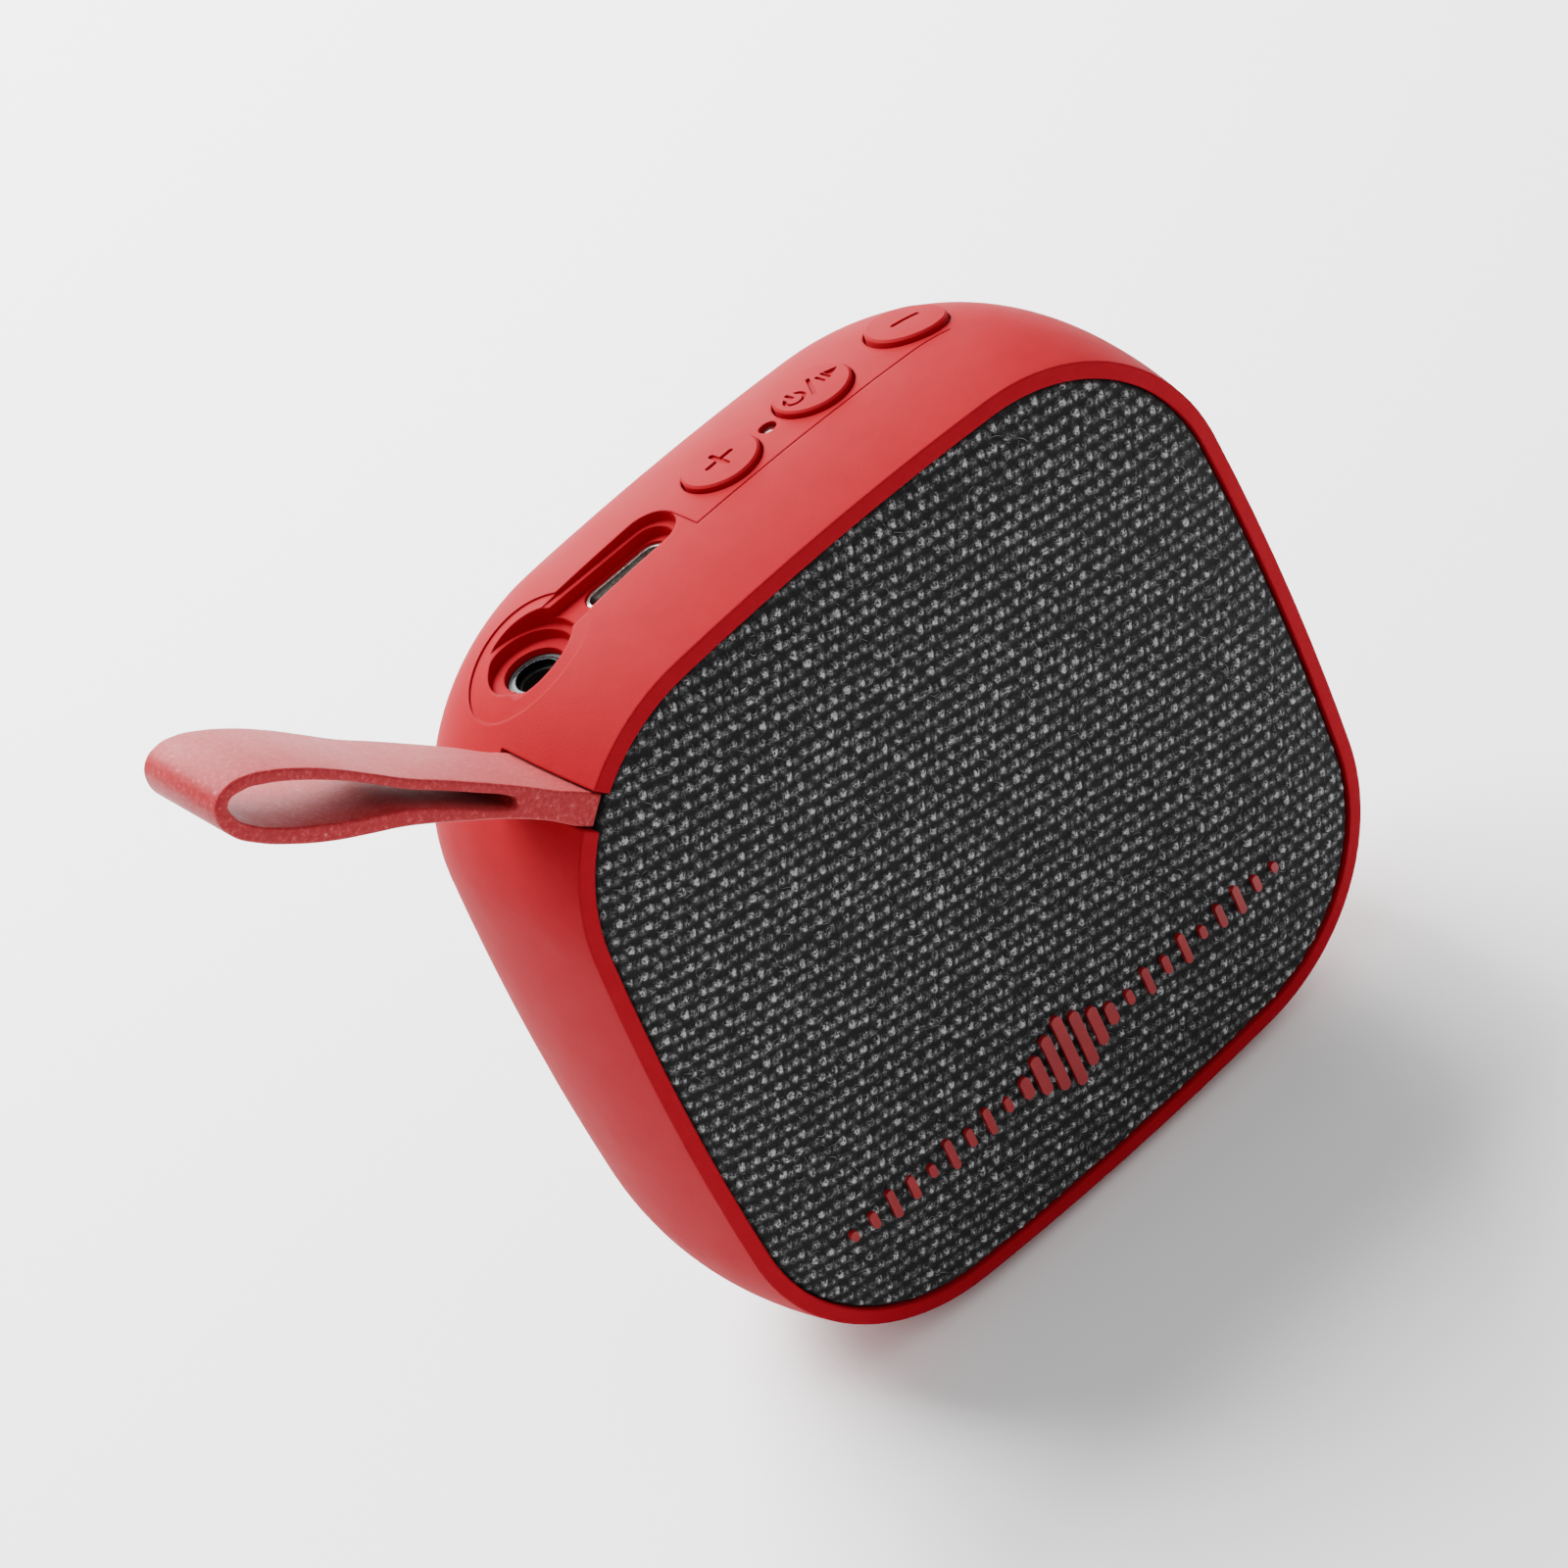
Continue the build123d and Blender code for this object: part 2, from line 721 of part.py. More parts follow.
def make_dust_cap():
    """Shallow dome that closes the middle of the cone."""
    rim = coil_outer - press_gap
    ball = (rim ** 2 + dome_rise ** 2) / (2 * dome_rise)
    shell = Sphere(ball) - Sphere(ball - cone_wall)
    dome = Pos(0, cone_back - dome_rise + ball, driver_z) * shell
    return whole(dome & box(-ball, ball, cone_back - 2 * dome_rise, cone_back, -far, far))


def make_voice_coil():
    front = cone_back + coil_start
    outer = coil_outer - glue_gap
    return whole(turned([(coil_inner, front), (outer, front),
                         (outer, coil_back), (coil_inner, coil_back)]))


def make_surround():
    """Half-roll edge between the cone and the flange."""
    base = cone_front
    start = surround_inner + glue_gap
    middle = (surround_inner + surround_outer) / 2
    top = base - surround_rise
    outer = ThreePointArc((start, base, 0), (middle, top, 0), (surround_outer, base, 0))
    inner = ThreePointArc((surround_outer - roll_wall, base, 0), (middle, top + roll_wall, 0),
                          (start + roll_wall, base, 0))
    face = Face(Wire([outer, Line(outer @ 1, inner @ 0), inner, Line(inner @ 1, outer @ 0)]))
    return whole(Pos(0, 0, driver_z) * revolve(face, Axis.Y))


def make_spider():
    """Corrugated disc that centres the coil."""
    inner = coil_outer + glue_gap
    front = []
    for index in range(spider_waves + 1):
        radius = inner + (spider_outer - inner) * index / spider_waves
        rise = 0.0 if index in (0, spider_waves) else spider_wave_rise * (-1) ** index
        front.append((radius, spider_front + rise))
    back = [(radius, depth + spider_wall) for radius, depth in reversed(front)]
    return whole(turned(front + back))


def make_terminals():
    """Strip on the outside of the basket with two solder lugs."""
    front = flange_back + terminal_start
    back = front + terminal_depth
    low = driver_z + basket_neck
    high = driver_z + surround_outer - terminal_inset
    strip = box(-terminal_half, terminal_half, front, back, low, high) - basket_outside()
    for x in (-lug_x, lug_x):
        strip += box(x - lug_half, x + lug_half, front + lug_start, back + lug_reach,
                     high, high + lug_thickness)
    return whole(strip)


# ---- electronics ----
def make_board():
    """Board beside the audio socket, with its outer top corner cut off to clear the shell."""
    left = jack_x + jack_width / 2 + fit_gap
    board = box(left, board_right, board_front, board_front + board_thickness,
                board_bottom, board_top)
    cut = Box(board_corner_cut * 2, 3 * board_thickness, board_corner_cut * 2)
    board -= Pos(board_right, board_front, board_top) * Rot(0, 45, 0) * cut
    for x in board_post_x:
        board -= barrel(screw_radius + fit_gap, x, board_post_z, 0, far)
    return whole(board)


def make_chip(x, z, width, height, thickness):
    front = board_front - thickness
    return whole(box(x - width / 2, x + width / 2, front, board_front, z - height / 2, z + height / 2))


def make_usb_shell():
    top = usb_floor_z - usb_sink
    low = top - usb_length
    inner_width = usb_width - 2 * usb_shell_wall
    inner_height = usb_height - 2 * usb_shell_wall
    tube = usb_slot(usb_width, usb_height, low, top)
    return whole(tube - usb_slot(inner_width, inner_height, low + usb_back_wall, top + 1))


def make_usb_tongue():
    low = usb_floor_z - usb_sink - usb_length + usb_back_wall
    tongue = box(usb_x - tongue_width / 2, usb_x + tongue_width / 2,
                 usb_recess_y - tongue_thickness / 2, usb_recess_y + tongue_thickness / 2,
                 low, low + tongue_length)
    return whole(tongue)


def make_jack_body():
    """Socket block beside the board, with a round nose in the recess and two solder ears."""
    top = jack_floor_z - jack_sink
    low = top - jack_length
    block_top = jack_floor_z - port_block_floor - fit_gap
    half = jack_width / 2
    body = upright(jack_nose, jack_x, row_depth, block_top, top)
    body += box(jack_x - half, jack_x + half, row_depth - half, row_depth + half, low, block_top)
    for rise in jack_ear_low:
        body += box(jack_x, jack_x + half + jack_ear_width, board_front - jack_ear_thickness,
                    board_front, low + rise, low + rise + jack_ear_height)
    bore = upright(jack_bore, jack_x, row_depth, low + jack_end_wall, far)
    ring_seat = upright(jack_ring_outer, jack_x, row_depth, top - jack_ring_height, far)
    return whole(body - bore - ring_seat)


def make_jack_ring():
    top = jack_floor_z - jack_sink
    ring = upright(jack_ring_outer, jack_x, row_depth, top - jack_ring_height, top)
    return whole(ring - upright(jack_ring_inner, jack_x, row_depth, 0, far))


def make_led():
    return make_chip(led_x, board_top - led_drop, led_width, led_height, led_thickness)


def make_light_pipe():
    """Clear rod from the LED to just under the outside surface."""
    top = top_point(led_x, row_depth)[0] - pipe_sink
    low = board_top - pipe_drop
    rod = upright(led_radius - pipe_gap, led_x, row_depth, low, top)
    arm = box(led_x - pipe_arm / 2, led_x + pipe_arm / 2, row_depth,
              board_front - led_thickness - press_gap, low, low + pipe_arm)
    return whole(rod + arm)


def make_battery():
    back = back_wall - foam_thickness
    half_w = battery_width / 2
    half_h = battery_height / 2
    cell = box(-half_w, half_w, back - battery_thickness, back, battery_z - half_h, battery_z + half_h)
    return whole(fillet(cell.edges().filter_by(Axis.Z), battery_corner))


def make_foam():
    half_w = battery_width / 2 - foam_margin
    half_h = battery_height / 2 - foam_margin
    return whole(box(-half_w, half_w, back_wall - foam_thickness, back_wall,
                     battery_z - half_h, battery_z + half_h))


def make_battery_connector():
    return make_chip(battery_plug_x, board_post_z, *battery_plug_size)


# ---- foot ----
def foot_block(grow, low, high):
    """Rounded pad block under the body, heights measured up from the resting face."""
    outline = RectangleRounded(foot_width + 2 * grow, foot_depth + 2 * grow, foot_corner + grow)
    base = -body_centre_height + low
    return Pos(0, foot_y, base) * extrude(outline, high - low)


def make_foot():
    return whole(chamfer(foot_block(0, 0, foot_proud + foot_recess).edges().group_by(Axis.Z)[0], foot_edge))


# ---- strap ----
def strap_face(points_top, points_bottom):
    """Closed outline from two smooth curves that share an end. Its points are (s, u): s outwards
    from the bending line along the corner's diagonal, u square to it and upwards."""
    top = Spline([Vector(hinge_s + s, -u, 0) for s, u in points_top])
    bottom = Spline([Vector(hinge_s + s, -u, 0) for s, u in points_bottom])
    edges = [top, bottom]
    if points_top[0] != points_bottom[-1]:
        edges.append(Line(bottom @ 1, top @ 0))
    return Face(Wire(edges))


def stand_up(face):
    """Gives a strap outline the band's width and turns it to the top left corner."""
    band = Rot(90, 0, 0) * extrude(face, strap_width, dir=(0, 0, 1))
    return Rot(0, 45 + 180, 0) * Pos(0, strap_back, 0) * band


def hinge_barrel(radius, length):
    """Cylinder along the strap's bending line."""
    placed = Pos(-hinge_s, (strap_front + strap_back) / 2, 0) * Rot(90, 0, 0)
    return Rot(0, 45, 0) * placed * Cylinder(radius, length)


def make_strap_loop():
    """Flat silicone loop that bends down at its far end, with a rounded root at the bending line."""
    top = [(0, neck_half), (5.8, 1.45), (12.8, 1.3), (19.8, 1.25), (27.1, 1.15), (32.4, 0.2)]
    tip = (34.9, -2.4)
    bottom = [(32.3, -5.2), (25.8, -5.3), (18.8, -3.85), (12.8, -2.45), (5.8, -1.5), (0, -neck_half)]
    hole_start = (4.8, -0.1)
    hole_top = [(6.2, 0.5), (12.5, 0.4), (16.2, 0.25), (23.8, 0.3), (30.0, -0.45)]
    hole_tip = (33.2, -2.4)
    hole_bottom = [(30.1, -4.0), (24.4, -3.5), (16.7, -1.7), (12.0, -1.0), (6.2, -0.7)]
    outside = strap_face(top + [tip], [tip] + bottom)
    hole = strap_face([hole_start] + hole_top + [hole_tip], [hole_tip] + hole_bottom + [hole_start])
    band = stand_up(outside) - stand_up(hole)
    return whole(band + hinge_barrel(neck_half, strap_width))


def make_strap_anchor():
    """The strap's fixed end: a pad in the notch, a tongue behind the ledge and a wide head."""
    pad = along_corner(anchor_start, hinge_s, anchor_half, strap_front, strap_back)
    tongue = along_corner(anchor_head_start, anchor_start + 1, anchor_half, tongue_front, strap_back)
    head = along_corner(anchor_head_start, anchor_head_start + anchor_head_thickness,
                        anchor_head_half, tongue_front, strap_back)
    return whole(pad + tongue + head - hinge_barrel(neck_half + hinge_clearance, 2 * strap_width))


def make_parts():
    outside = body_form(0)
    inside = body_form(-wall)
    parts = {
        "housing": make_housing(outside, inside),
        "fabric_cover": make_fabric(),
        "grille_plate": make_grille(),
        "front_emblem": make_emblem(),
        "baffle": make_baffle(),
        "baffle_screws": make_baffle_screws(),
        "driver_gasket": make_gasket(),
        "driver_basket": make_basket(),
        "driver_top_plate": make_top_plate(),
        "driver_magnet": make_magnet(),
        "driver_yoke": make_yoke(),
        "driver_cone": make_cone(),
        "driver_dust_cap": make_dust_cap(),
        "driver_voice_coil": make_voice_coil(),
        "driver_surround": make_surround(),
        "driver_spider": make_spider(),
        "driver_terminals": make_terminals(),
        "main_board": make_board(),
        "board_screws": make_board_screws(),
        "radio_chip": make_chip(radio_x, chip_z, *radio_size),
        "amplifier_chip": make_chip(amplifier_x, chip_z, *amplifier_size),
        "battery_connector": make_battery_connector(),
        "usb_shell": make_usb_shell(),
        "usb_tongue": make_usb_tongue(),
        "audio_socket": make_jack_body(),
        "audio_socket_ring": make_jack_ring(),
        "status_led": make_led(),
        "light_pipe": make_light_pipe(),
        "battery_cell": make_battery(),
        "battery_foam": make_foam(),
        "rubber_foot": make_foot(),
        "strap_anchor": make_strap_anchor(),
        "strap_loop": make_strap_loop(),
    }
    for name in button_x:
        parts[name + "_button"] = make_button(name)
        parts[name + "_switch"] = make_switch(name)
        parts[name + "_plunger"] = make_plunger(name)
    return parts


os.makedirs("parts", exist_ok=True)
to_foot = Location((0, -foot_y, body_centre_height))
for node, solid in make_parts().items():
    export_step(to_foot * solid, f"parts/{node}.step")
    print(node, len(solid.solids()), round(solid.volume, 2))
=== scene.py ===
import bpy
import bmesh
import json
import math
import numpy as np
from mathutils import Matrix, Vector


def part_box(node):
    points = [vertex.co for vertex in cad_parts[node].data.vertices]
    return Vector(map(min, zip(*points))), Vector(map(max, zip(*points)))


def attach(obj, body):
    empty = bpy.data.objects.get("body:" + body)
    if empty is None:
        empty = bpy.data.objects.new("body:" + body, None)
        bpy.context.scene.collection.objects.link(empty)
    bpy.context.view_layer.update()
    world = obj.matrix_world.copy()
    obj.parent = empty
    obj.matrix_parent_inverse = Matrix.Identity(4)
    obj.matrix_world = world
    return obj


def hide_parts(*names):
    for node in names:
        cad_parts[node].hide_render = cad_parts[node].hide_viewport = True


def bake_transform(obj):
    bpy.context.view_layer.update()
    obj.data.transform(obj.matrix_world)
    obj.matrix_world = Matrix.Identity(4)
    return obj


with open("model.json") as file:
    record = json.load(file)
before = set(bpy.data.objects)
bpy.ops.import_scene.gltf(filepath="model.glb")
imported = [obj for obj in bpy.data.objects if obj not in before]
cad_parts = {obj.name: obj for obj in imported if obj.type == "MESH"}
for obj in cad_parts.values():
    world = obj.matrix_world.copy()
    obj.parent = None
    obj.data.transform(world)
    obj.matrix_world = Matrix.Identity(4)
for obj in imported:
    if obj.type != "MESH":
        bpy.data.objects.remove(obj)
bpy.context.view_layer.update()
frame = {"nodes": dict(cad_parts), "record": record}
nodes = frame["nodes"]
MM = 0.001
SHARP_ANGLE = 24           # edges of CAD nodes that turn by more degrees stay sharp
STRAP_SHARP_ANGLE = 40

# ---- places read from the frame ----
cover_low, cover_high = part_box("fabric_cover")
front_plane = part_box("housing")[0].y
middle_z = (cover_low.z + cover_high.z) / 2
middle_x = (cover_low.x + cover_high.x) / 2
cover_half = (cover_high.x - cover_low.x) / 2


def at(x, depth, z):
    """A point from distances in millimetres right of, behind and above the front's middle."""
    return Vector((middle_x + x * MM, front_plane + depth * MM, middle_z + z * MM))


# ---- small node helpers ----
class Nodes:
    """A material's node tree with short calls to add and join nodes."""

    def __init__(self, name):
        self.material = bpy.data.materials.new(name)
        self.material.use_nodes = True
        self.tree = self.material.node_tree
        self.shader = self.tree.nodes["Principled BSDF"]

    def add(self, kind, **settings):
        node = self.tree.nodes.new(kind)
        for key, value in settings.items():
            if hasattr(node, key):
                setattr(node, key, value)
            else:
                node.inputs[key].default_value = value
        return node

    def join(self, source, output, target, socket):
        self.tree.links.new(source.outputs[output], target.inputs[socket])

    def value(self, socket, number):
        self.shader.inputs[socket].default_value = number

    def place(self):
        return self.add("ShaderNodeTexCoord")

    def noise(self, size, detail=2.0, rough=0.5, where=None, stretch=(1, 1, 1)):
        """Noise whose grains are about size millimetres across."""
        source, output = where or (self.place(), "Object")
        mapping = self.add("ShaderNodeMapping")
        mapping.inputs["Scale"].default_value = stretch
        self.join(source, output, mapping, "Vector")
        noise = self.add("ShaderNodeTexNoise", Scale=1 / (size * MM), Detail=detail, Roughness=rough)
        self.join(mapping, "Vector", noise, "Vector")
        return noise

    def strands(self, size, stretch, angle):
        """Noise drawn out along one direction of the front, like lying fibres."""
        mapping = self.add("ShaderNodeMapping")
        mapping.inputs["Rotation"].default_value = (0, math.radians(angle), 0)
        self.join(self.place(), "Object", mapping, "Vector")
        return self.noise(size, detail=2.0, rough=0.6, where=(mapping, "Vector"),
                          stretch=(1 / stretch, 1, 1))

    def ramp(self, source, output, stops):
        ramp = self.add("ShaderNodeValToRGB")
        elements = ramp.color_ramp.elements
        while len(elements) < len(stops):
            elements.new(0.5)
        for element, (position, colour) in zip(elements, stops):
            element.position = position
            element.color = (*colour, 1)
        self.join(source, output, ramp, "Fac")
        return ramp

    def span(self, source, output, low, high, start=0.0, end=1.0):
        """Maps the stretch from start to end onto low to high."""
        node = self.add("ShaderNodeMapRange")
        node.inputs["From Min"].default_value = start
        node.inputs["From Max"].default_value = end
        node.inputs["To Min"].default_value = low
        node.inputs["To Max"].default_value = high
        self.join(source, output, node, "Value")
        return node

    def bevel(self, radius_mm):
        return self.add("ShaderNodeBevel", samples=6, Radius=radius_mm * MM)

    def bump(self, source, output, height_mm, strength=1.0, under=None):
        bump = self.add("ShaderNodeBump", Strength=strength, Distance=height_mm * MM)
        self.join(source, output, bump, "Height")
        if under is not None:
            self.join(under, "Normal", bump, "Normal")
        return bump

    def colour_from(self, node):
        self.join(node, "Color", self.shader, "Base Color")

    def rough_from(self, node):
        self.join(node, "Result", self.shader, "Roughness")

    def normal_from(self, node):
        self.join(node, "Normal", self.shader, "Normal")


# ---- materials ----
RED = (0.270, 0.0058, 0.0125)
RED_DEEP = (0.261, 0.0054, 0.0118)
RED_LIGHT = (0.279, 0.0062, 0.0132)


def soft_touch_red(name, edge_mm):
    """Soft-touch moulded plastic: very fine grain, faint cloudiness, slightly rounded edges."""
    m = Nodes(name)
    cloud = m.noise(2.5, detail=4.0)
    m.colour_from(m.ramp(cloud, "Fac", [(0.3, RED_DEEP), (0.5, RED), (0.75, RED_LIGHT)]))
    patches = m.noise(4.0, detail=4.0)
    m.rough_from(m.span(patches, "Fac", 0.54, 0.64))
    grain = m.noise(0.20, detail=3.0, rough=0.6)
    m.normal_from(m.bump(grain, "Fac", 0.035, 0.7, under=m.bevel(edge_mm)))
    m.value("Specular IOR Level", 0.02)
    return m.material


def emblem_red(name):
    """Glossier moulded trim."""
    m = Nodes(name)
    cloud = m.noise(3.0)
    m.colour_from(m.ramp(cloud, "Fac", [(0.3, (0.20, 0.004, 0.008)),
                                        (0.7, (0.25, 0.005, 0.010))]))
    patches = m.noise(1.2)
    m.rough_from(m.span(patches, "Fac", 0.26, 0.36))
    grain = m.noise(0.2)
    m.normal_from(m.bump(grain, "Fac", 0.006, 0.4, under=m.bevel(0.12)))
    return m.material


def silicone_red(name):
    """Matte silicone with a fine sparkle of lighter specks."""
    m = Nodes(name)
    specks = m.noise(0.42, detail=5.0, rough=0.75)
    m.colour_from(m.ramp(specks, "Fac", [(0.30, (0.225, 0.006, 0.010)), (0.52, (0.30, 0.011, 0.017)),
                                         (0.64, (0.38, 0.038, 0.044)), (0.75, (0.60, 0.150, 0.155))]))
    patches = m.noise(1.6, detail=3.0)
    m.rough_from(m.span(patches, "Fac", 0.50, 0.66))
    grain = m.noise(0.22, detail=4.0, rough=0.7)
    m.normal_from(m.bump(grain, "Fac", 0.03, 0.6))
    m.value("Specular IOR Level", 0.18)
    m.value("Sheen Weight", 0.10)
    m.value("Sheen Roughness", 0.4)
    m.value("Sheen Tint", (1.0, 0.7, 0.68, 1))
    return m.material


def knit(name):
    """Charcoal heather yarn: grey on the raised knuckles, fibrous all over, and black in the holes
    between stitches, where the darkness is painted shade.
    """
    m = Nodes(name)
    # the relief attribute carries the yarn's tone together with painted shade in the holes and at the
    # rolled-in edge
    relief = m.add("ShaderNodeAttribute", attribute_name="relief")
    fibres = m.strands(0.19, 2.6, 62)
    crossing = m.strands(0.16, 2.2, -20)
    both = m.add("ShaderNodeMath", operation="ADD")
    m.join(fibres, "Fac", both, 0)
    m.join(crossing, "Fac", both, 1)
    raised = m.add("ShaderNodeMath", operation="ADD")
    m.join(relief, "Fac", raised, 0)
    raised.inputs[1].default_value = 0.07
    mixed = m.add("ShaderNodeMath", operation="MULTIPLY")
    m.join(raised, "Value", mixed, 0)
    m.join(m.span(both, "Value", 0.30, 1.75, 0.80, 1.22), "Result", mixed, 1)
    # the lowest stops are painted shade in the holes between stitches
    m.colour_from(m.ramp(mixed, "Value", [(0.00, (0.0016, 0.0016, 0.0017)),
                                          (0.16, (0.008, 0.008, 0.0084)),
                                          (0.38, (0.042, 0.042, 0.044)),
                                          (0.65, (0.140, 0.140, 0.143)),
                                          (1.00, (0.36, 0.36, 0.365))]))
    m.value("Roughness", 0.85)
    m.value("Specular IOR Level", 0.15)
    m.value("Sheen Weight", 0.06)
    m.value("Sheen Roughness", 0.5)
    m.normal_from(m.bump(both, "Value", 0.07, 0.8))
    return m.material


def stray_fibre(name):
    """Pale loose yarn."""
    m = Nodes(name)
    tone = m.noise(2.0)
    m.colour_from(m.ramp(tone, "Fac", [(0.3, (0.07, 0.07, 0.074)), (0.7, (0.26, 0.26, 0.27))]))
    m.value("Roughness", 0.7)
    return m.material


def moulded(name, dark, light, rough, grain_mm=0.2, bump_mm=0.02, edge_mm=0.1):
    """Plain moulded or pressed stuff with a fine grain and cloudy gloss."""
    m = Nodes(name)
    cloud = m.noise(5.0, detail=3.0)
    m.colour_from(m.ramp(cloud, "Fac", [(0.3, dark), (0.7, light)]))
    patches = m.noise(1.5, detail=3.0)
    m.rough_from(m.span(patches, "Fac", rough - 0.06, rough + 0.08))
    grain = m.noise(grain_mm, detail=3.0)
    m.normal_from(m.bump(grain, "Fac", bump_mm, 0.5, under=m.bevel(edge_mm)))
    return m.material


def metal(name, dark, light, rough, brushed=(1, 1, 1)):
    """Plated or brushed metal with fine streaks."""
    m = Nodes(name)
    m.value("Metallic", 1.0)
    streaks = m.noise(0.5, detail=5.0, rough=0.7, stretch=brushed)
    m.colour_from(m.ramp(streaks, "Fac", [(0.3, dark), (0.7, light)]))
    m.rough_from(m.span(streaks, "Fac", rough - 0.05, rough + 0.12))
    m.normal_from(m.bump(streaks, "Fac", 0.004, 0.4, under=m.bevel(0.06)))
    return m.material


def clear_plastic(name):
    """Dark glossy light pipe."""
    m = Nodes(name)
    cloud = m.noise(1.0)
    m.colour_from(m.ramp(cloud, "Fac", [(0.3, (0.060, 0.006, 0.008)), (0.7, (0.090, 0.010, 0.012))]))
    m.value("Roughness", 0.18)
    m.value("Coat Weight", 0.6)
    m.normal_from(m.bump(cloud, "Fac", 0.01, 0.3, under=m.bevel(0.1)))
    return m.material


def board_green(name):
    """Solder mask with faint copper tracks under it."""
    m = Nodes(name)
    tracks = m.add("ShaderNodeTexBrick", Scale=420.0)
    tracks.inputs["Mortar Size"].default_value = 0.03
    tracks.inputs["Color1"].default_value = (0.012, 0.10, 0.05, 1)
    tracks.inputs["Color2"].default_value = (0.010, 0.085, 0.042, 1)
    tracks.inputs["Mortar"].default_value = (0.03, 0.20, 0.09, 1)
    m.join(m.place(), "Object", tracks, "Vector")
    m.colour_from(tracks)
    cloud = m.noise(1.0)
    m.rough_from(m.span(cloud, "Fac", 0.28, 0.4))
    m.normal_from(m.bump(cloud, "Fac", 0.01, 0.3))
    return m.material


MATERIALS = {
    "red_shell": soft_touch_red("soft_touch_red", 0.35),
    "red_button": soft_touch_red("button_red", 0.12),
    "red_trim": emblem_red("emblem_red"),
    "red_silicone": silicone_red("silicone_red"),
    "knit_fabric": knit("charcoal_knit"),
    "black_plastic": moulded("black_plastic", (0.010, 0.010, 0.011), (0.018, 0.018, 0.019), 0.45),
    "steel": metal("zinc_steel", (0.42, 0.42, 0.41), (0.58, 0.57, 0.55), 0.34),
    "nickel": metal("bright_nickel", (0.56, 0.54, 0.50), (0.74, 0.72, 0.68), 0.20, (1, 1, 0.2)),
    "ferrite": moulded("ferrite", (0.03, 0.03, 0.032), (0.055, 0.055, 0.058), 0.62, 0.3, 0.05),
    "paper": moulded("pressed_paper", (0.028, 0.027, 0.026), (0.05, 0.048, 0.046), 0.85, 0.35, 0.08),
    "copper": metal("enamelled_copper", (0.50, 0.20, 0.09), (0.66, 0.30, 0.14), 0.3, (0.2, 8, 0.2)),
    "soft_rubber": moulded("soft_rubber", (0.012, 0.012, 0.012), (0.024, 0.024, 0.024),
                           0.78, 0.25, 0.04, 0.3),
    "spider_cloth": moulded("spider_cloth", (0.36, 0.26, 0.10), (0.48, 0.36, 0.16), 0.82, 0.3, 0.09),
    "circuit_board": board_green("circuit_board"),
    "chip_black": moulded("chip_epoxy", (0.012, 0.012, 0.013), (0.022, 0.022, 0.023),
                          0.55, 0.12, 0.015),
    "led_white": moulded("milky_plastic", (0.62, 0.60, 0.55), (0.74, 0.72, 0.68), 0.35, 0.3, 0.01),
    "clear_pipe": clear_plastic("smoky_light_pipe"),
    "battery_wrap": moulded("battery_wrap", (0.10, 0.14, 0.20), (0.15, 0.19, 0.26), 0.28, 2.0, 0.08),
}


def dress(node, slot):
    """Gives a CAD node its material, with smooth shading up to its real edges."""
    piece = nodes[node]
    piece.data.materials.clear()
    piece.data.materials.append(MATERIALS[slot])
    for polygon in piece.data.polygons:
        polygon.use_smooth = True
    piece.data.set_sharp_from_angle(angle=math.radians(SHARP_ANGLE))


for part in frame["record"]["subparts"]:
    dress(part["node"], part["material_slot"])
nodes["audio_socket_ring"].data.materials[0] = metal(
    "dark_nickel", (0.025, 0.028, 0.032), (0.06, 0.064, 0.07), 0.24)


def new_piece(name, mesh, slot, body=None):
    """Links a finished mesh as a piece with the material of one of the record's slots."""
    piece = bpy.data.objects.new(name, mesh)
    bpy.context.scene.collection.objects.link(piece)
    if not mesh.materials:
        mesh.materials.append(MATERIALS[slot])
    for polygon in mesh.polygons:
        polygon.use_smooth = True
    if body is not None:
        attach(piece, body)
    return piece


def mesh_from(name, points, faces):
    mesh = bpy.data.meshes.new(name)
    mesh.from_pydata([tuple(p) for p in points], [], faces)
    mesh.update()
    return mesh


# ---- knitted front cover ----
OPENING_CORNER = 18.55     # corner radius of the cover, in millimetres
SIDE_BOW = 266.0           # radius of its bowed sides
CROWN = 1.5                # height of the dome in front of the opening
CROWN_POWER = 6
COVER_SINK = 0.25
EDGE_ROLL = 0.55           # width of the rolled-in edge
EDGE_DROP = 0.95           # how far the edge rolls down beside the bezel
WALE = (0.795, 1.300)      # from a stitch to the next along a column of the knit
COURSE = (1.535, -0.260)   # from a stitch to its neighbour in the next column
STITCH_HEIGHT = 0.30
# one stitch as soft bumps: place X and Z, direction in degrees, long and short radius, height
KNUCKLE = (0.0, 0.0, -62, 0.42, 0.28, 1.0)
SIDE_LOOP = (0.30, 0.20, -72, 0.27, 0.13, 0.52)
UNDER_LOOP = (0.78, -0.38, -40, 0.46, 0.38, 0.44)
STITCH_WANDER = 0.26       # how far a stitch may lie from its place in the lattice
STITCH_SMALLEST = 0.80
STITCH_SPREAD = 0.38       # the largest is this much larger
STITCH_TURN = 0.9          # range of directions, in radians
DARKEST_YARN = 0.54        # tone of a knuckle, from 0 to 1
UNDER_TONE = 0.95
EDGE_TONE_IN_PAINTED_SHADE = 0.35           # share of its tone that the yarn keeps at the rolled-in edge, where it is darkened as painted shade in the gap beside the bezel
GRID = 0.12


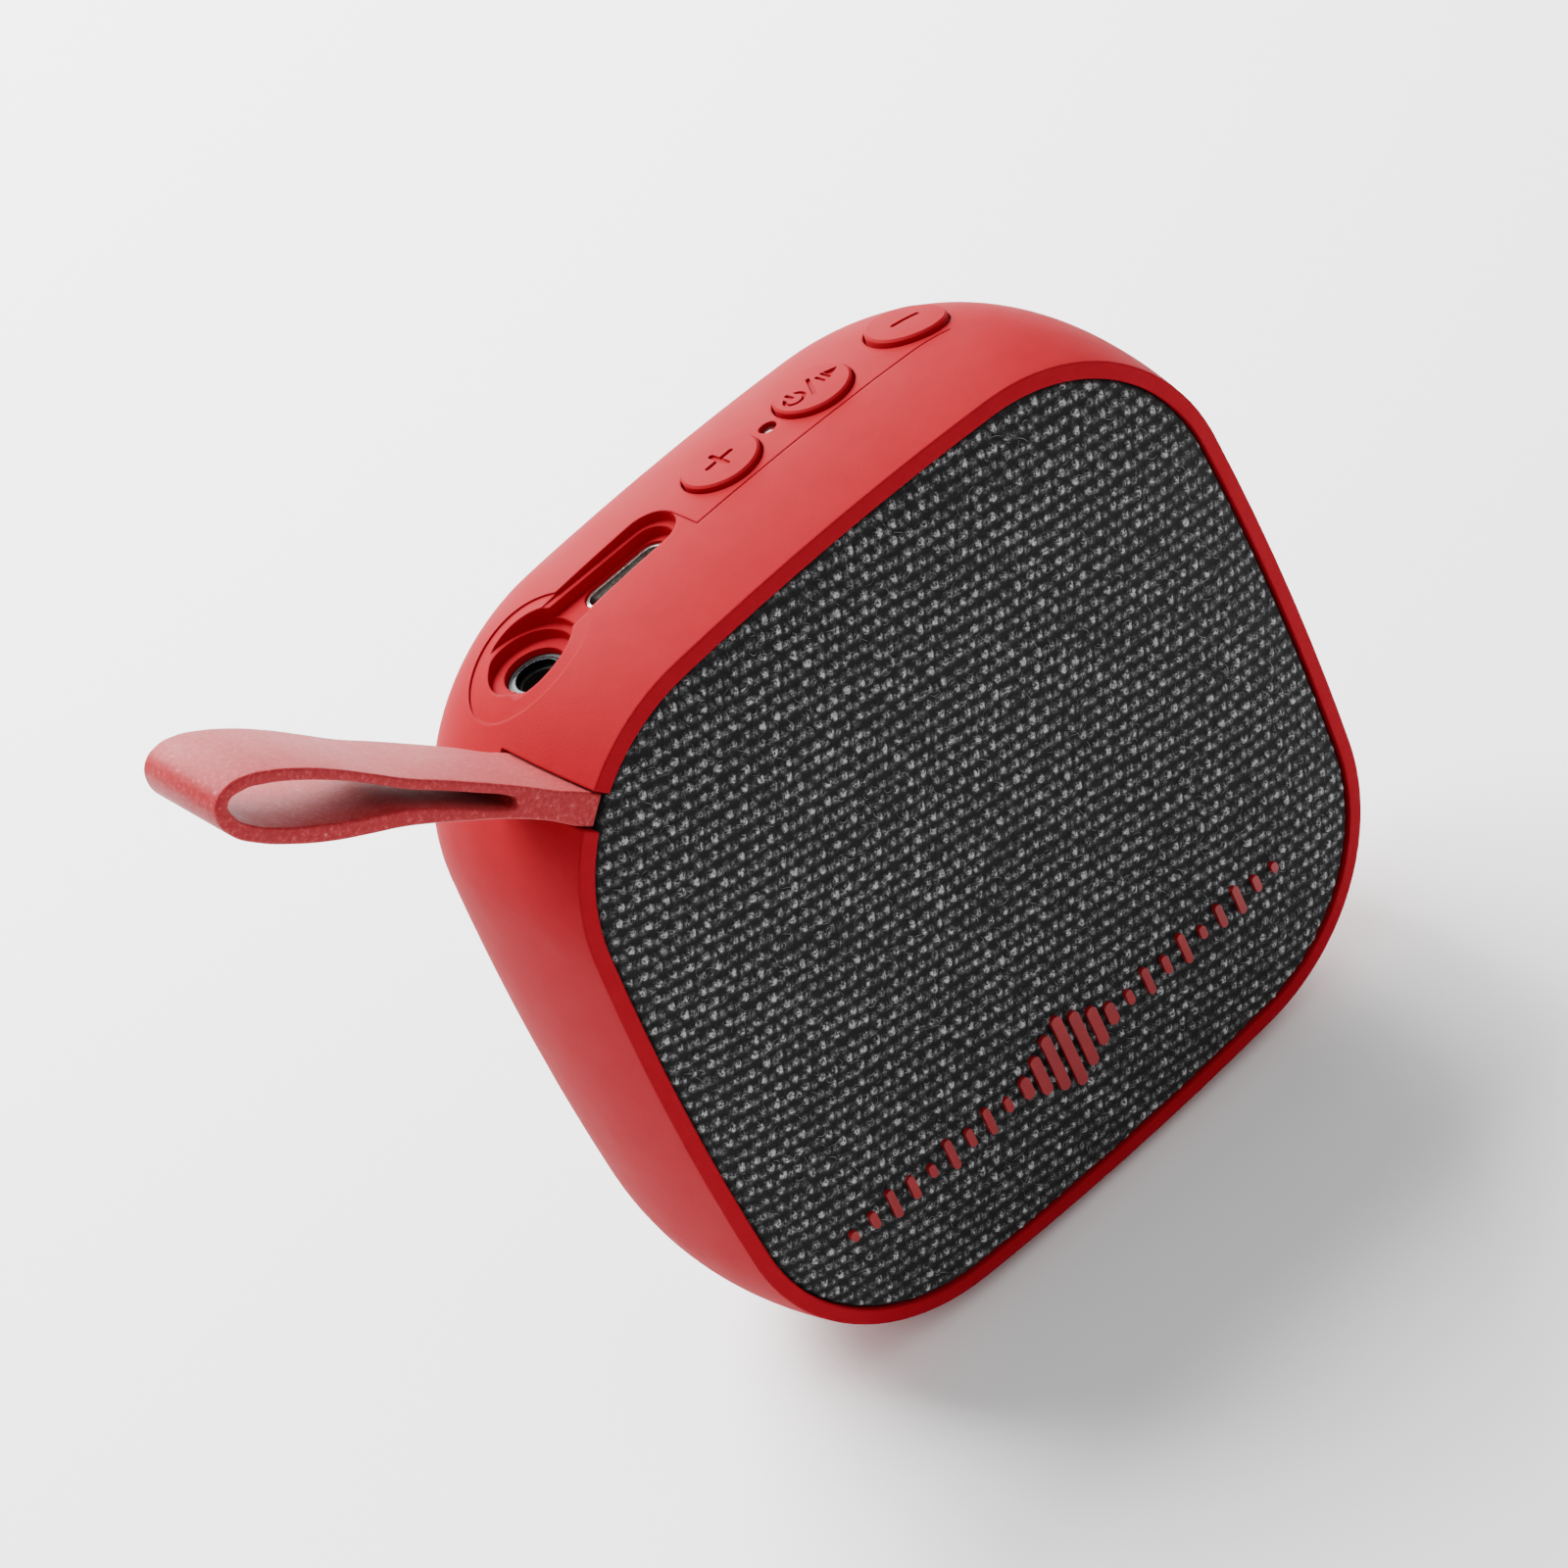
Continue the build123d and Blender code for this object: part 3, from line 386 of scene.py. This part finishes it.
def outline_reach(angle, half, corner, bow):
    """Distance from the middle to the rounded-square outline in each direction."""
    reach = bow - half
    centre = (-reach + math.sqrt(2 * (bow - corner) ** 2 - reach ** 2)) / 2
    fold = np.abs((angle + math.pi / 4) % (math.pi / 2) - math.pi / 4)
    side_x, side_z = np.cos(fold), np.sin(fold)
    back = half - bow
    side = back * side_x + np.sqrt((back * side_x) ** 2 - back ** 2 + bow ** 2)
    dot = centre * (side_x + side_z)
    round_part = dot + np.sqrt(np.maximum(dot ** 2 - 2 * centre ** 2 + corner ** 2, 0))
    turn = math.atan2(centre, centre + bow - half)
    joint = math.atan2(bow * math.sin(turn), half - bow + bow * math.cos(turn))
    return np.where(fold < joint, side, round_part)


def share_of_outline(x, z):
    """0 in the middle of the cover, 1 on its outline."""
    return np.hypot(x, z) / outline_reach(np.arctan2(z, x), cover_half / MM, OPENING_CORNER, SIDE_BOW)


def scatter(a, b, seed):
    """Repeatable pseudo-random numbers from 0 to 1 for whole-number pairs."""
    mixed = np.sin(a * 127.1 + b * 311.7 + seed * 74.7) * 43758.5453
    return mixed - np.floor(mixed)


def soft_bump(x, z, shape, turn):
    """An oval bump of the given shape, turned about its own middle."""
    place_x, place_z, direction, long, short, height = shape
    angle = math.radians(direction) + turn
    off_x, off_z = x - place_x, z - place_z
    lengthwise = off_x * np.cos(angle) + off_z * np.sin(angle)
    across = -off_x * np.sin(angle) + off_z * np.cos(angle)
    return height * np.exp(-(lengthwise / long) ** 2 - (across / short) ** 2)


def stitch_relief(x, z):
    """Height of the knit, about 0 to 1, and the lightness of its yarn at each point, with painted
    shade that darkens the yarn into the holes between stitches.
    """
    det = COURSE[0] * WALE[1] - COURSE[1] * WALE[0]
    p = (x * WALE[1] - z * WALE[0]) / det
    q = (COURSE[0] * z - COURSE[1] * x) / det
    height = np.zeros_like(x)
    tone = np.zeros_like(x)
    base_p, base_q = np.floor(p), np.floor(q)
    for dp in (-2, -1, 0, 1, 2):
        for dq in (-1, 0, 1, 2):
            cell_p, cell_q = base_p + dp, base_q + dq
            jitter_x = (scatter(cell_p, cell_q, 1) - 0.5) * STITCH_WANDER
            jitter_z = (scatter(cell_p, cell_q, 2) - 0.5) * STITCH_WANDER
            size = STITCH_SMALLEST + STITCH_SPREAD * scatter(cell_p, cell_q, 3)
            turn = (scatter(cell_p, cell_q, 4) - 0.5) * STITCH_TURN
            light = DARKEST_YARN + (1 - DARKEST_YARN) * scatter(cell_p, cell_q, 5)
            off_x = x - cell_p * COURSE[0] - cell_q * WALE[0] - jitter_x
            off_z = z - cell_p * COURSE[1] - cell_q * WALE[1] - jitter_z
            knuckle = size * soft_bump(off_x, off_z, KNUCKLE, turn)
            side = size * soft_bump(off_x, off_z, SIDE_LOOP, turn)
            under = size * soft_bump(off_x, off_z, UNDER_LOOP, turn)
            height = np.maximum(height, np.maximum(knuckle, np.maximum(side, under)))
            # painted shade: the tone follows the height of the bumps, so the yarn goes dark between
            # them
            tone = np.maximum(tone, np.maximum(light * (knuckle + side), UNDER_TONE * under))
    return height, tone


def cover_depth(share, inside):
    """Depth of the smooth dome behind the opening plane, with its edge rolled in."""
    dome = COVER_SINK - CROWN * (1 - np.clip(share, 0, 1) ** CROWN_POWER)
    roll = np.clip(1 - inside / EDGE_ROLL, 0, 1)
    return dome + EDGE_DROP * (1 - np.sqrt(1 - 0.999 * roll ** 2))


def make_cover():
    """A square grid trimmed to the opening's outline, domed and raised into stitches."""
    half = cover_half / MM
    count = int(math.ceil(half / GRID)) + 1
    line = np.arange(-count, count + 1) * GRID
    x, z = np.meshgrid(line, line, indexing="ij")
    reach = outline_reach(np.arctan2(z, x), half, OPENING_CORNER, SIDE_BOW)
    radius = np.hypot(x, z)
    outside = radius > reach
    shrink = np.where(outside, reach / np.maximum(radius, 1e-9), 1.0)
    x, z, radius = x * shrink, z * shrink, radius * shrink
    share = radius / reach
    inside = (1 - share) * reach
    relief, tone = stitch_relief(x, z)
    fade = np.clip(inside / EDGE_ROLL, 0, 1)
    depth = cover_depth(share, inside) - (relief - 0.5) * STITCH_HEIGHT * fade
    side = 2 * count + 1
    index = np.arange(side * side).reshape(side, side)
    corners = [index[:-1, :-1], index[1:, :-1], index[1:, 1:], index[:-1, 1:]]
    shut = outside[:-1, :-1] & outside[1:, :-1] & outside[1:, 1:] & outside[:-1, 1:]
    quads = np.stack([c[~shut] for c in corners], 1)
    used = np.unique(quads)
    renumber = np.full(side * side, -1)
    renumber[used] = np.arange(len(used))
    points = np.stack([middle_x + x.ravel() * MM, front_plane + depth.ravel() * MM,
                       middle_z + z.ravel() * MM], 1)[used]
    mesh = mesh_from("knit_cover", points, renumber[quads].tolist())
    # the relief attribute stores the yarn's tone, painted shade included
    attribute = mesh.attributes.new("relief", "FLOAT", "POINT")
    # painted shade: the yarn darkens towards the rolled-in edge, where the cover falls into the gap
    # beside the bezel
    tone = tone * (EDGE_TONE_IN_PAINTED_SHADE + (1 - EDGE_TONE_IN_PAINTED_SHADE) * fade)
    attribute.data.foreach_set("value", tone.ravel()[used].astype(np.float32))
    piece = new_piece("knit_cover", mesh, "knit_fabric", "speaker")
    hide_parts("fabric_cover")
    return piece


FIBRE_COUNT = 1500
FIBRE_RADIUS = 0.020
FIBRE_THINNING = 0.6       # share of the radius lost at the ends
FIBRE_STEPS = 6
FIBRE_SIDES = 3
FIBRE_LENGTHS = (0.35, 1.3)
FIBRE_LIFTS = (0.02, 0.16) # height of its arch
FIBRE_CURL = 1.6           # spread of the turn along a fibre, in radians
FIBRE_LIMIT = 0.97         # no fibre lies nearer to the cover's outline
FIBRE_REST = 0.42          # share of the relief at which a fibre lies


def make_fibres():
    """Short loose yarn ends that lie on the knit."""
    random = np.random.default_rng(7)
    points, faces = [], []
    half = cover_half / MM
    for _ in range(FIBRE_COUNT):
        x, z = random.uniform(-half, half, 2)
        length = random.uniform(*FIBRE_LENGTHS)
        heading = random.uniform(0, 2 * math.pi)
        bend = random.normal(0, FIBRE_CURL)
        lift = random.uniform(*FIBRE_LIFTS)
        path = []
        for step in range(FIBRE_STEPS + 1):
            along = step / FIBRE_STEPS
            path.append((x, z, lift * math.sin(math.pi * along)))
            x += length / FIBRE_STEPS * math.cos(heading)
            z += length / FIBRE_STEPS * math.sin(heading)
            heading += bend / FIBRE_STEPS
        xs = np.array([p[0] for p in path])
        zs = np.array([p[1] for p in path])
        share = share_of_outline(xs, zs)
        if share.max() > FIBRE_LIMIT:
            continue
        lifts = np.array([p[2] for p in path])
        depths = cover_depth(share, np.full_like(share, half)) - lifts
        depths -= (stitch_relief(xs, zs)[0] - FIBRE_REST) * STITCH_HEIGHT
        start = len(points)
        for step in range(FIBRE_STEPS + 1):
            thin = FIBRE_RADIUS * (1 - FIBRE_THINNING * abs(2 * step / FIBRE_STEPS - 1))
            for corner in range(FIBRE_SIDES):
                spin = corner * 2 * math.pi / FIBRE_SIDES
                sideways, forwards = thin * math.cos(spin), thin * math.sin(spin)
                points.append(at(xs[step] + sideways, depths[step] + forwards, zs[step] + sideways))
            if step:
                ring = start + FIBRE_SIDES * step
                before = ring - FIBRE_SIDES
                for corner in range(FIBRE_SIDES):
                    other = (corner + 1) % FIBRE_SIDES
                    faces.append((before + corner, before + other, ring + other, ring + corner))
        last = start + FIBRE_SIDES * FIBRE_STEPS
        faces.append((start + 2, start + 1, start))
        faces.append((last, last + 1, last + 2))
    mesh = mesh_from("loose_fibres", points, faces)
    mesh.materials.append(stray_fibre("stray_fibre"))
    return new_piece("loose_fibres", mesh, "knit_fabric", "speaker")


knit_cover = make_cover()
fibres = make_fibres()


# ---- silicone strap ----
STRAP_FRONT = 0.5
STRAP_WIDTH = 11.1
STRAP_EDGE = 0.28          # rounding of the band's long edges
SQUARE_END = -3.0          # knots further in than this are sharp corners
STRAP_STEPS = 14           # points between two knots
STRAP_WELD = 0.004
hinge = next(j for j in frame["record"]["behaviour"]["joints"] if j["name"] == "strap_bend")
hinge_place = Vector(hinge["pos_m"])


def strap_point(s, u):
    """X and Z of a point s outwards from the bending line along the diagonal and u above it."""
    root = math.sqrt(0.5) * MM
    return hinge_place.x + (u - s) * root, hinge_place.z + (u + s) * root


def strap_spline(curve, points):
    """A closed smooth line through points given along and above the diagonal."""
    spline = curve.splines.new("BEZIER")
    spline.bezier_points.add(len(points) - 1)
    for knot, (s, u) in zip(spline.bezier_points, points):
        x, z = strap_point(s, u)
        knot.co = (x, z, 0)
        knot.handle_left_type = "VECTOR" if s < SQUARE_END else "AUTO"
        knot.handle_right_type = knot.handle_left_type
    spline.use_cyclic_u = True
    spline.resolution_u = STRAP_STEPS


def make_strap():
    """One soft band: the flat neck in the notch and the drooping loop beyond it."""
    curve = bpy.data.curves.new("strap_outline", "CURVE")
    curve.dimensions = "2D"
    curve.fill_mode = "BOTH"
    curve.extrude = (STRAP_WIDTH / 2 - STRAP_EDGE) * MM
    curve.bevel_depth = STRAP_EDGE * MM
    curve.bevel_resolution = 3
    curve.offset = -STRAP_EDGE * MM
    outer = [(-3.6, -1.45), (-3.6, 1.45), (-1.8, 1.5), (-0.6, 1.45), (0.8, 1.36), (2.8, 1.42),
             (5.8, 1.45), (9.3, 1.4), (12.8, 1.3), (16.4, 1.15), (19.8, 1.25), (23.8, 1.32),
             (27.1, 1.15), (30.1, 0.7),
             (32.2, 0.1), (33.8, -0.95), (34.45, -2.4), (33.8, -4.0), (32.0, -5.1), (29.2, -5.45),
             (25.8, -5.25), (22.2, -4.7), (18.8, -3.85), (15.7, -3.0), (12.8, -2.45), (9.3, -1.95),
             (5.8, -1.5), (2.8, -1.3), (0.8, -1.28), (-0.6, -1.4), (-1.8, -1.5)]
    hole = [(4.8, -0.1), (5.0, 0.30), (5.8, 0.5), (8.8, 0.5), (12.5, 0.38), (16.2, 0.22), (20.6, 0.4),
            (23.8, 0.34), (26.8, 0.1), (30.0, -0.45), (32.2, -1.25), (33.2, -2.4), (32.2, -3.5),
            (30.1, -4.0), (27.4, -3.95), (24.2, -3.5), (20.8, -2.8), (18.1, -2.1), (15.8, -1.5),
            (12.0, -1.05), (8.4, -0.85), (5.8, -0.65), (5.0, -0.45)]
    strap_spline(curve, outer)
    strap_spline(curve, hole)
    flat = bpy.data.objects.new("strap_outline", curve)
    bpy.context.scene.collection.objects.link(flat)
    bpy.context.view_layer.update()
    finished = flat.evaluated_get(bpy.context.evaluated_depsgraph_get())
    mesh = bpy.data.meshes.new_from_object(finished)
    bpy.data.objects.remove(flat)
    stand = Matrix(((1, 0, 0, 0),
                    (0, 0, -1, front_plane + (STRAP_FRONT + STRAP_WIDTH / 2) * MM),
                    (0, 1, 0, 0),
                    (0, 0, 0, 1)))
    mesh.transform(stand)
    clean = bmesh.new()
    clean.from_mesh(mesh)
    bmesh.ops.remove_doubles(clean, verts=clean.verts, dist=STRAP_WELD * MM)
    bmesh.ops.recalc_face_normals(clean, faces=clean.faces)
    clean.to_mesh(mesh)
    clean.free()
    mesh.materials.clear()
    piece = new_piece("silicone_strap", mesh, "red_silicone")
    mesh.set_sharp_from_angle(angle=math.radians(STRAP_SHARP_ANGLE))
    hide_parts("strap_loop", "strap_anchor")
    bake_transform(piece)
    return piece


make_strap()


# ---- floor, light and camera ----
FLOOR_HALF = 3.0
FLOOR_GREY = 0.93
WORLD_LIGHT = 0.40


def make_floor():
    material = bpy.data.materials.new("pale_floor")
    material.use_nodes = True
    shader = material.node_tree.nodes["Principled BSDF"]
    shader.inputs["Base Color"].default_value = (FLOOR_GREY, FLOOR_GREY, FLOOR_GREY, 1)
    shader.inputs["Roughness"].default_value = 0.6
    corners = [(FLOOR_HALF * x, FLOOR_HALF * y, 0) for x, y in ((-1, -1), (1, -1), (1, 1), (-1, 1))]
    mesh = mesh_from("floor", corners, [(0, 1, 2, 3)])
    floor = bpy.data.objects.new("floor", mesh)
    mesh.materials.append(material)
    bpy.context.scene.collection.objects.link(floor)


def area_light(name, place, target, size, power):
    """A square white lamp at a place, aimed at a target."""
    light = bpy.data.lights.new(name, "AREA")
    light.shape = "SQUARE"
    light.size = size
    light.energy = power
    lamp = bpy.data.objects.new(name, light)
    lamp.location = place
    lamp.rotation_euler = (Vector(target) - Vector(place)).to_track_quat("-Z", "Y").to_euler()
    bpy.context.scene.collection.objects.link(lamp)


def make_lights():
    middle = (0, 0, middle_z)
    area_light("key_above_behind", (-0.08, 0.38, 0.60), middle, 0.45, 15.0)
    area_light("fill_left", (-0.60, -0.10, 0.42), middle, 0.50, 1.4)
    area_light("rim_behind", (0.25, 0.70, 0.34), middle, 0.50, 14.0)
    area_light("fill_front", (0.35, -0.60, 0.55), middle, 0.60, 2.4)
    world = bpy.data.worlds.new("studio")
    world.use_nodes = True
    background = world.node_tree.nodes["Background"]
    background.inputs["Color"].default_value = (1, 1, 1, 1)
    background.inputs["Strength"].default_value = WORLD_LIGHT
    bpy.context.scene.world = world


# the camera's direction and roll in degrees, distance in metres, lens and aim in millimetres
CAMERA_AZIMUTH = -23.046
CAMERA_ELEVATION = 35.440
CAMERA_ROLL = 26.699
CAMERA_DISTANCE = 0.63952
CAMERA_LENS = 169.67
CAMERA_AIM = (-9.128, 12.114, 10.641)


def make_camera():
    """The photographed view: from the front left, above, and rolled."""
    azimuth = math.radians(CAMERA_AZIMUTH)
    elevation = math.radians(CAMERA_ELEVATION)
    back = Vector((math.sin(azimuth) * math.cos(elevation), -math.cos(azimuth) * math.cos(elevation),
                   math.sin(elevation)))
    right = Vector((0, 0, 1)).cross(back).normalized()
    above = back.cross(right)
    roll = math.radians(CAMERA_ROLL)
    up = above * math.cos(roll) + right * math.sin(roll)
    side = up.cross(back)
    data = bpy.data.cameras.new("camera")
    data.lens = CAMERA_LENS
    data.sensor_width = 36
    data.clip_start = 0.01
    camera = bpy.data.objects.new("camera", data)
    turn = Matrix((side, up, back)).transposed().to_4x4()
    camera.matrix_world = Matrix.Translation(at(*CAMERA_AIM) + back * CAMERA_DISTANCE) @ turn
    bpy.context.scene.collection.objects.link(camera)
    bpy.context.scene.camera = camera


make_floor()
make_lights()
make_camera()
